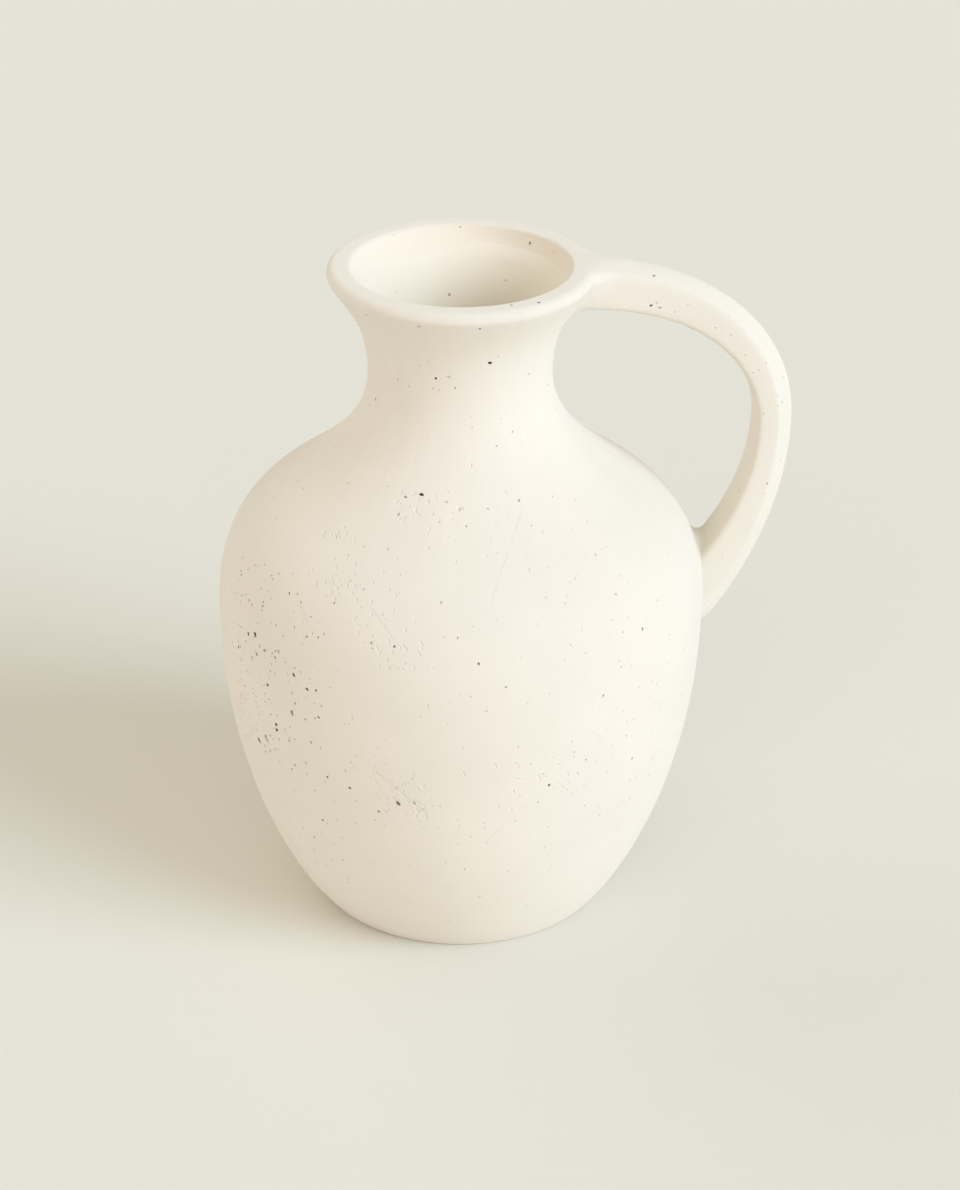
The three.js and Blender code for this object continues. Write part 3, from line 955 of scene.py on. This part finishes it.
def arc_beside_lip(pot, strap, corners, index, radius, steps):
    """The same for the edge of the outer face at the lip, where strap and lip lie level: seen
    from above it is an arc, and its height and rounding run over into those of the lip"""
    normal = section_normal(strap, 0, corners, index)
    tilt = math.atan2(normal.z, abs(normal.y))
    side = math.copysign(1, corners[index].z)
    ring = pot.lip_radius - pot.lip_rounding * (1 - math.cos(tilt))
    level = total_height(pot) - pot.lip_rounding * (1 - math.sin(tilt))
    beside = abs(strap.spot(0, corners[index]).y) + radius
    reach = math.sqrt((ring + radius) ** 2 - beside**2)
    turn = math.acos(beside / (ring + radius))

    def share_at(x):
        past = lambda share: strap.spot(share, corners[index]).x > x
        return share_of(past, LIP_SEARCH, ROOT_OVERRUN)

    start = share_at(reach)
    edge = abs(strap.spot(start, corners[index]).y)
    arc = []
    for i in range(steps + 1):
        angle = turn * i / steps
        x = reach - radius * math.sin(angle)
        ease = smooth(i, 0, steps)
        y = mix(edge, beside - radius, ease) + radius * (1 - math.cos(angle))
        z = mix(strap.spot(share_at(x), corners[index]).z, level, ease)
        arc.append(Vector((x, side * y, z)))
    out = Vector((arc[-1].x, arc[-1].y, 0)).normalized() * math.cos(tilt)
    return start, arc, -(out + UP * math.sin(tilt))


def ring_tube(rings):
    """A closed tube over rings of points: the first is drawn, then carried on ring by ring"""
    bm = bmesh.new()
    verts = [bm.verts.new(spot) for spot in rings[0]]
    edges = [bm.edges.new((verts[i - 1], verts[i])) for i in range(len(verts))]
    bmesh.ops.contextual_create(bm, geom=edges)
    for ring in rings[1:]:
        grown = bmesh.ops.extrude_edge_only(bm, edges=edges)["geom"]
        new_edges = [g for g in grown if isinstance(g, bmesh.types.BMEdge)]
        follow = {}
        for vert in verts:
            for edge in vert.link_edges:
                other = edge.other_vert(vert)
                if other in grown:
                    follow[vert] = other
        verts = [follow[vert] for vert in verts]
        for vert, spot in zip(verts, ring):
            vert.co = spot
        kept = set(verts)
        edges = [e for e in new_edges if e.verts[0] in kept and e.verts[1] in kept]
    bmesh.ops.contextual_create(bm, geom=edges)
    return bm


# Materials


def add_node(tree, kind, settings, links=None):
    """A shader node with its settings and links, by the names or numbers of its inputs. A node
    that is given as a link's source stands for its first output."""
    node = tree.nodes.new("ShaderNode" + kind)
    for key, value in settings.items():
        if key in node.bl_rna.properties.keys():
            setattr(node, key, value)
        else:
            node.inputs[key].default_value = value
    for key, source in (links or {}).items():
        socket = source.outputs[0] if isinstance(source, bpy.types.Node) else source
        tree.links.new(socket, node.inputs[key])
    return node


# The colour inputs and output of a mix node
FIRST, SECOND, MIXED = 6, 7, 2


def new_material(name, values):
    """A material with its shader's own values, and its tree and shader"""
    material = bpy.data.materials.new(name)
    material.use_nodes = True
    shader = material.node_tree.nodes["Principled BSDF"]
    for key, value in values.items():
        shader.inputs[key].default_value = value
    return material, material.node_tree, shader


def mixed_colour(first=None, second=None):
    """Settings of a mix node for colours, with those of its two colours that are fixed"""
    settings = {"data_type": "RGBA"}
    for key, linear in ((FIRST, first), (SECOND, second)):
        if linear is not None:
            settings[key] = (*linear, 1)
    return settings


def clay_material(looks):
    """Cream earthenware, smoothed with a wet sponge and fired without glaze: matte and bright,
    with grog that was dragged and lost, which leaves pits, and with fine pinholes. Pits and pinholes are
    painted dark: staining and painted shade in their hollows"""
    values = {"Roughness": 0.85, "Diffuse Roughness": 0.35, "IOR": 1.45}
    material, tree, shader = new_material("cream_earthenware", values)
    place = add_node(tree, "TexCoord", {}).outputs["Object"]

    # Cloudy differences in the clay, some centimetres wide
    cloud = add_node(tree, "TexNoise", {"Scale": 22.0, "Detail": 4.0}, {"Vector": place})

    # Strokes of the sponge up the shoulder and the neck, some millimetres wide: noise over the
    # direction round the axis, drawn out along the height
    parts = add_node(tree, "SeparateXYZ", {}, {"Vector": place})
    flat = add_node(tree, "CombineXYZ", {}, {"X": parts.outputs["X"], "Y": parts.outputs["Y"]})
    around = add_node(tree, "VectorMath", {"operation": "NORMALIZE"}, {0: flat})
    height = add_node(tree, "Math", {"operation": "MULTIPLY", 1: 1.6}, {0: parts.outputs["Z"]})
    lifted = add_node(tree, "CombineXYZ", {}, {"Z": height})
    stroke_place = add_node(tree, "VectorMath", {"operation": "ADD"}, {0: around, 1: lifted})
    settings = {"Scale": 11.0, "Detail": 3.0}
    strokes = add_node(tree, "TexNoise", settings, {"Vector": stroke_place})
    settings = {"From Min": 0.13, "From Max": 0.2, "To Max": 0.5}
    stroked = add_node(tree, "MapRange", settings, {"Value": parts.outputs["Z"]})
    links = {"Factor": stroked, "A": cloud, "B": strokes}
    drift = add_node(tree, "Mix", {"data_type": "FLOAT"}, links)
    spread = add_node(tree, "MapRange", {"From Min": 0.3, "From Max": 0.7}, {"Value": drift})
    dark, light = ([c * (1 + way * looks.clouds) for c in looks.clay] for way in (-1, 1))
    body = add_node(tree, "Mix", mixed_colour(dark, light), {"Factor": spread})

    # Pinholes where bubbles broke, under a millimetre wide and some millimetres apart, in some of
    # the cells only: 0 at the bottom of a hole and 1 on the open surface
    cells = add_node(tree, "TexVoronoi", {"Scale": 190.0}, {"Vector": place})
    settings = {"From Min": 0.5, "From Max": 0.85, "To Min": 0.001, "To Max": 0.09}
    radius = add_node(tree, "MapRange", settings, {"Value": cells.outputs["Color"]})
    settings = {"interpolation_type": "SMOOTHSTEP", "From Min": 0.0}
    links = {"Value": cells.outputs["Distance"], "From Max": radius}
    surface = add_node(tree, "MapRange", settings, links)
    # The holes are painted darker towards their bottoms: painted shade in the holes, with some staining
    settings = {"To Min": looks.pinhole_stain_and_shade, "To Max": 0.0}
    holes = add_node(tree, "MapRange", settings, {"Value": surface})
    # The pressed marks bring their painted darkness, staining and painted shade, from the mesh
    pits = add_node(tree, "Attribute", {"attribute_name": "stain"}).outputs["Fac"]
    stain = add_node(tree, "Math", {"operation": "MAXIMUM"}, {0: pits, 1: holes})

    # The band in the mouth carries a film of glaze
    film = add_node(tree, "Attribute", {"attribute_name": "film"}).outputs["Fac"]
    links = {"Factor": film, FIRST: body.outputs[MIXED]}
    filmed = add_node(tree, "Mix", mixed_colour(second=looks.glaze), links)
    # The darkened places turn towards the colour of a pit's bottom: staining and painted shade
    links = {"Factor": stain, FIRST: filmed.outputs[MIXED]}
    stained_and_shaded = add_node(tree, "Mix", mixed_colour(second=looks.pit), links)
    tree.links.new(stained_and_shaded.outputs[MIXED], shader.inputs["Base Color"])

    # The strokes and the hand leave the surface uneven by hundredths of a millimetre
    uneven = add_node(tree, "TexNoise", {"Scale": 110.0, "Detail": 2.0}, {"Vector": place})
    bumpy = add_node(tree, "Bump", {"Distance": 0.12 * MM}, {"Height": uneven})
    links = {"Height": strokes, "Normal": bumpy, "Strength": stroked}
    furrowed = add_node(tree, "Bump", {"Distance": 0.2 * MM}, links)

    # The sponge leaves a fine grain, drawn a little coarser than the real one
    grain = add_node(tree, "TexNoise", {"Scale": 900.0, "Detail": 2.0}, {"Vector": place})
    links = {"Height": grain, "Normal": furrowed}
    rough = add_node(tree, "Bump", {"Distance": 0.03 * MM}, links)
    links = {"Height": surface, "Normal": rough}
    holed = add_node(tree, "Bump", {"Distance": 0.25 * MM}, links)
    tree.links.new(holed.outputs["Normal"], shader.inputs["Normal"])
    return material


def glaze_material(looks):
    """Thin satin glaze over the same clay: a smooth coat with a soft sheen and no grain"""
    values = {"Roughness": 0.6, "Diffuse Roughness": 0.35}
    material, tree, shader = new_material("thin_inside_glaze", values)
    # Pits in the coat are painted dark: staining and painted shade in their hollows
    pits = add_node(tree, "Attribute", {"attribute_name": "stain"}).outputs["Fac"]
    stained_and_shaded = add_node(tree, "Mix", mixed_colour(looks.glaze, looks.pit), {"Factor": pits})
    tree.links.new(stained_and_shaded.outputs[MIXED], shader.inputs["Base Color"])
    return material


def floor_material(looks):
    """Plain painted studio floor, without any sheen"""
    values = {"Base Color": (*looks.floor, 1), "Roughness": 1, "Specular IOR Level": 0}
    return new_material("studio_floor", values)[0]


def clay_of(context):
    name = "cream_earthenware"
    return bpy.data.materials.get(name) or clay_material(context.scene.vase_looks)


# Operators

# Where the side of the base slab ends and its last rings begin
SLAB_RING = 0.2 * MM
# The inner wall, which nobody sees, keeps every fourth ring
INNER_RINGS = 4
# A ring this close to each edge of the lip's flat keeps its shading level
FLAT_EDGE = 0.4 * MM
# The coat's edge: how far under the step it ends, its slope there, and its curve
COAT_SINK = 0.05 * MM
COAT_EDGE_SLOPE = math.radians(38)
COAT_EDGE_HOLD = 0.4
COAT_EDGE_STEPS = 8


class VASE_OT_base_slab(bpy.types.Operator):
    """Turn the flat base slab with its rounded foot edge"""

    bl_idname = "vase.base_slab"
    bl_label = "Base slab"

    def execute(self, context):
        pot = context.scene.vase_pot
        outside = outside_profile(pot)
        side = [p for p in outside if p.y < pot.base_thickness - SLAB_RING]
        top = between(outside, 0, pot.base_thickness)[-2:]
        section = [Vector((0, 0)), *side, *top, Vector((0, pot.base_thickness))]
        bm = turned(section, pot.turn_steps, closed=False)
        shape_by_hand(bm)
        finish_piece(bm, "base_slab", clay_of(context))
        return {"FINISHED"}


class VASE_OT_wall_courses(bpy.types.Operator):
    """Turn the courses of wall: lower wall, belly, shoulder and neck"""

    bl_idname = "vase.wall_courses"
    bl_label = "Wall courses"

    def execute(self, context):
        pot = context.scene.vase_pot
        outside = outside_profile(pot)
        inside = offset(outside, lambda z: wall_at(pot, z))
        courses = {
            "lower_wall": (pot.base_thickness, pot.belly_joint),
            "belly_wall": (pot.belly_joint, pot.shoulder_joint),
            "shoulder_wall": (pot.shoulder_joint, pot.neck_joint),
            "neck_collar": (pot.neck_joint, pot.lip_joint),
        }
        marks = surface_marks(outside)
        for node, (low, high) in courses.items():
            outer = between(outside, low, high)
            inner = between(inside, low, high)
            inner = [*inner[::INNER_RINGS], inner[-1]]
            bm = turned([*outer, *reversed(inner)], pot.turn_steps)
            shape_by_hand(bm)
            press_marks(bm, marks_between(marks, low, high))
            finish_piece(bm, node, clay_of(context))
        return {"FINISHED"}


class VASE_OT_lip_ring(bpy.types.Operator):
    """Turn the lip with its rounded edge, its flat top and the band inside the mouth"""

    bl_idname = "vase.lip_ring"
    bl_label = "Lip ring"

    def execute(self, context):
        pot = context.scene.vase_pot
        top = total_height(pot)
        step = top - pot.band_depth
        outside = outside_profile(pot)
        inside = offset(outside, lambda z: wall_at(pot, z))
        outer = between(outside[:-1], pot.lip_joint, outside[-2].y)
        outer.append(outside[-1])
        mouth = Vector((pot.mouth_radius + pot.mouth_rounding, top - pot.mouth_rounding))
        steps = MOUTH_ROUNDING_STEPS
        edge = rounding(mouth, pot.mouth_rounding, math.pi / 2, math.pi, steps)
        flat = [outside[-1] - Vector((FLAT_EDGE, 0)), edge[0] + Vector((FLAT_EDGE, 0))]
        band_foot = Vector((pot.mouth_radius - pot.band_taper, step))
        inner = between(inside, pot.lip_joint, step - pot.ledge_depth)
        section = [*outer, *flat, *edge, band_foot, *reversed(inner)]
        bm = turned(section, pot.turn_steps)
        wipe_band(bm, pot)
        shape_by_hand(bm)
        marks = marks_between(surface_marks(outside), pot.lip_joint, outside[-4].y)
        press_marks(bm, marks + mouth_marks(LIP_PITS))
        finish_piece(bm, "lip_ring", clay_of(context))
        return {"FINISHED"}


class VASE_OT_inner_glaze(bpy.types.Operator):
    """Turn the coat of glaze that lines the inside"""

    bl_idname = "vase.inner_glaze"
    bl_label = "Inner glaze"

    def execute(self, context):
        pot = context.scene.vase_pot
        outside = outside_profile(pot)
        step = total_height(pot) - pot.band_depth
        gap, thickness = pot.joint_gap, pot.glaze_thickness
        floor_low = pot.base_thickness + gap
        floor_high = floor_low + thickness
        back = offset(outside, lambda z: wall_at(pot, z) + gap)
        face = offset(outside, lambda z: wall_at(pot, z) + gap + thickness)
        outer = between(back, floor_low, step - pot.ledge_depth)
        inner = between(face, floor_high, step - pot.coat_run)
        way = (inner[-1] - inner[-3]).normalized()
        edge_end = Vector((pot.mouth_radius - pot.band_taper, step - COAT_SINK))
        hold = pot.coat_run * COAT_EDGE_HOLD
        turns = inner[-1] + way * hold, edge_end - run(COAT_EDGE_SLOPE, hold)
        edge = interpolate_bezier(inner[-1], *turns, edge_end, COAT_EDGE_STEPS + 1)
        inner.extend(Vector(p) for p in edge[1:])
        section = [Vector((0, floor_low)), *outer, *reversed(inner), Vector((0, floor_high))]
        bm = turned(section, pot.inside_turn_steps, closed=False)
        wipe_band(bm, pot)
        shape_by_hand(bm)
        press_marks(bm, mouth_marks(COAT_PITS))
        finish_piece(bm, "inner_glaze", glaze_material(context.scene.vase_looks))
        return {"FINISHED"}


# A ring this share of the way from each joint keeps the shading whole there
JOINT_RING = 0.0005


class VASE_OT_strap_handle(bpy.types.Operator):
    """Draw the strap's section along its line, from roll to roll"""

    bl_idname = "vase.strap_handle"
    bl_label = "Strap handle"

    def execute(self, context):
        pot, sizes = context.scene.vase_pot, context.scene.vase_strap
        strap = Strap(pot, sizes)
        start, end = roll_joints(strap, PotSurface(outside_profile(pot)), sizes)
        first, last = start + JOINT_RING, end - JOINT_RING
        steps = sizes.line_steps
        shares = [start, *(mix(first, last, i / steps) for i in range(steps + 1)), end]
        corners = section_corners()
        rings = [[strap.spot(share, corner) for corner in corners] for share in shares]
        bm = ring_tube(rings)
        shape_by_hand(bm)
        press_marks(bm, strap_marks(strap, corners))
        finish_piece(bm, "strap_handle", clay_of(context))
        return {"FINISHED"}


# Where across the section the inner face ends and the outer face begins. The hollow under the
# inner face tightens towards the sides, and more so in front.
SIDE_FROM = -0.25
OUTER_FROM = 0.3
FRONT_TIGHTENS = -0.1, 0.45
# At the lip, how far up a place of the section faces before its hollow lies level
LEVEL_FROM = 0.3
# How far the outer face lies over the lip's flat, and how it ends under it
LIP_COVER = 0.015 * MM
LIP_TUCK = 0.05 * MM
LIP_RUN_ON = 2.2 * MM


def bed_rings(pot, strap, surface, sizes, joint, end, hollows):
    """Rings of a roll from its joint with the strap, over the hollow and under the pot's skin.
    At the lip the outer face spreads between its two edges and ends just under the lip's flat."""
    at_lip = end < BEND
    corners = section_corners()
    close = JOINT_RING * (-1 if at_lip else 1)
    steps = sizes.hollow_steps
    columns = {}
    for index, (out, swell, across) in enumerate(corners):
        if at_lip and out > OUTER_FROM and abs(across) <= SECTION_EDGE - SECTION_CORNER:
            continue
        inner, side, outer = hollows
        if out < SIDE_FROM:
            tight = max(smooth(out, -SECTION_EDGE, SIDE_FROM), smooth(-across, *FRONT_TIGHTENS))
            radius = mix(inner, side, tight)
        else:
            radius = mix(side, outer, (out - SIDE_FROM) / (SECTION_EDGE - SIDE_FROM))
        if at_lip and section_normal(strap, 0, corners, index).z > LEVEL_FROM:
            start, arc, to_pot = arc_beside_lip(pot, strap, corners, index, radius, steps)
        else:
            start, arc, to_pot = arc_over_hollow(strap, surface, corners, index, end, radius, steps)
        column = [strap.spot(joint, corners[index])]
        for i in range(sizes.approach_steps):
            share = mix(joint + close, start, i / sizes.approach_steps)
            column.append(strap.spot(share, corners[index]))
        run_on = (arc[-1] - arc[-2]).normalized() * sizes.tuck
        columns[index] = [*column, *arc, arc[-1] + run_on + to_pot * sizes.tuck_depth]
    if at_lip:
        columns.update(outer_face_columns(pot, strap, sizes, joint, corners, columns))
    return [list(ring) for ring in zip(*(columns[i] for i in range(len(corners))))]


def outer_face_columns(pot, strap, sizes, joint, corners, columns):
    """The outer face at the lip, drawn straight across between its two edges"""
    face = [i for i in range(len(corners)) if i not in columns]
    left, right = columns[face[0] - 1], columns[face[-1] + 1]
    level = total_height(pot) + LIP_COVER
    ends = left[0].y, right[0].y
    last = len(left) - 2
    shares, lifts = {}, {}
    for index in face:
        spot = strap.spot(joint, corners[index])
        shares[index] = (spot.y - ends[0]) / (ends[1] - ends[0])
        lifts[index] = spot - left[0].lerp(right[0], shares[index])
    most = max(lift.z for lift in lifts.values())
    made = {}
    for index in face:
        column = []
        for k, (a, b) in enumerate(zip(left, right)):
            ease = smooth(k, 0, last)
            spot = a.lerp(b, shares[index])
            rise = (level - spot.z) * lifts[index].z / most
            spot += lifts[index] * (1 - ease) + UP * rise * ease
            column.append(spot)
        column[-1] = column[-2] - Vector((LIP_RUN_ON, 0, LIP_TUCK))
        made[index] = column
    return made


def hollows_of(sizes, place):
    """Radius of the hollow at the strap's inner face, its sides and its outer face"""
    return [getattr(sizes, f"{place}_hollow_{face}") for face in ("inner", "side", "outer")]


class VASE_OT_handle_beds(bpy.types.Operator):
    """Draw the two rolls that bed the strap's ends, with hollows that run out over the pot"""

    bl_idname = "vase.handle_beds"
    bl_label = "Handle beds"

    def execute(self, context):
        pot, sizes = context.scene.vase_pot, context.scene.vase_strap
        strap = Strap(pot, sizes)
        surface = PotSurface(outside_profile(pot))
        root, foot = roll_joints(strap, surface, sizes)
        beds = {
            "handle_root_bed": (root, ROOT_OVERRUN, hollows_of(sizes, "root")),
            "handle_foot_bed": (foot, FOOT_OVERRUN, hollows_of(sizes, "foot")),
        }
        for node, (joint, end, hollows) in beds.items():
            bm = ring_tube(bed_rings(pot, strap, surface, sizes, joint, end, hollows))
            shape_by_hand(bm)
            finish_piece(bm, node, clay_of(context))
        return {"FINISHED"}


FLOOR_HALF = 12
SENSOR_WIDTH = 36


class VASE_OT_studio(bpy.types.Operator):
    """Lay the floor and set up the lamps and the camera"""

    bl_idname = "vase.studio"
    bl_label = "Studio"

    def execute(self, context):
        scene = context.scene
        studio = scene.vase_studio
        bm = bmesh.new()
        bmesh.ops.create_grid(bm, x_segments=2, y_segments=2, size=FLOOR_HALF)
        mesh = bpy.data.meshes.new("studio_floor")
        bm.to_mesh(mesh)
        bm.free()
        floor = bpy.data.objects.new("studio_floor", mesh)
        mesh.materials.append(floor_material(scene.vase_looks))
        scene.collection.objects.link(floor)

        for name in ("key", "front", "back"):
            lamp = bpy.data.lights.new(name + "_light", "SUN")
            lamp.energy = getattr(studio, name + "_power")
            lamp.color = getattr(studio, name + "_colour")
            lamp.angle = getattr(studio, name + "_size")
            height, azimuth = getattr(studio, name + "_height"), getattr(studio, name + "_azimuth")
            light = bpy.data.objects.new(name + "_light", lamp)
            light.rotation_euler = (0, math.pi / 2 - height, azimuth)
            scene.collection.objects.link(light)

        world = bpy.data.worlds.new("studio_world")
        world.use_nodes = True
        tree = world.node_tree
        background = tree.nodes["Background"]
        high, low = Vector(studio.sky_colour), Vector(studio.low_sky_colour)
        high *= studio.sky_power
        place = add_node(tree, "TexCoord", {}).outputs["Generated"]
        place = add_node(tree, "SeparateXYZ", {}, {"Vector": place})
        settings = {"From Min": 0.0, "From Max": studio.low_sky_top}
        share = add_node(tree, "MapRange", settings, {"Value": place.outputs["Z"]})
        near_floor = high + low * studio.low_sky_power
        sky = add_node(tree, "Mix", mixed_colour(near_floor, high), {"Factor": share})
        tree.links.new(sky.outputs[MIXED], background.inputs["Color"])
        scene.world = world
        scene.view_settings.view_transform = "Standard"

        data = bpy.data.cameras.new("camera")
        data.sensor_width = SENSOR_WIDTH
        data.lens = studio.focal_pixels / studio.picture_height * data.sensor_width
        data.shift_x = (studio.picture_width / 2 - studio.axis_column) / studio.picture_height
        camera = bpy.data.objects.new("camera", data)
        level, rise = -math.cos(studio.pitch), math.sin(studio.pitch)
        out = Matrix.Rotation(studio.turn, 3, "Z") @ Vector((0, level, rise))
        camera.location = UP * studio.aim_height + out * studio.distance
        camera.rotation_euler = (math.pi / 2 - studio.pitch, 0, studio.turn)
        scene.collection.objects.link(camera)
        scene.camera = camera
        return {"FINISHED"}


class VASE_PT_panel(bpy.types.Panel):
    """Sizes, colours and pieces of the vase"""

    bl_label = "Handled vase"
    bl_idname = "VASE_PT_panel"
    bl_space_type = "VIEW_3D"
    bl_region_type = "UI"
    bl_category = "Vase"

    def draw(self, context):
        for name, group in GROUPS.items():
            box = self.layout.box()
            box.label(text=group.__doc__)
            values = getattr(context.scene, name)
            for field in group.__annotations__:
                box.prop(values, field)
        for operator in OPERATORS:
            self.layout.operator(operator.bl_idname)


GROUPS = {
    "vase_pot": PotForm,
    "vase_strap": StrapForm,
    "vase_looks": Looks,
    "vase_studio": Studio,
}
OPERATORS = (
    VASE_OT_base_slab,
    VASE_OT_wall_courses,
    VASE_OT_lip_ring,
    VASE_OT_inner_glaze,
    VASE_OT_strap_handle,
    VASE_OT_handle_beds,
    VASE_OT_studio,
)


def register():
    for item in (*GROUPS.values(), *OPERATORS, VASE_PT_panel):
        bpy.utils.register_class(item)
    for name, group in GROUPS.items():
        setattr(bpy.types.Scene, name, PointerProperty(type=group))


def unregister():
    for name in GROUPS:
        delattr(bpy.types.Scene, name)
    for item in reversed((*GROUPS.values(), *OPERATORS, VASE_PT_panel)):
        bpy.utils.unregister_class(item)


def main():
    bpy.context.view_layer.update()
    register()
    for operator in OPERATORS:
        family, name = operator.bl_idname.split(".")
        getattr(getattr(bpy.ops, family), name)()


if __name__ == "__main__":
    main()
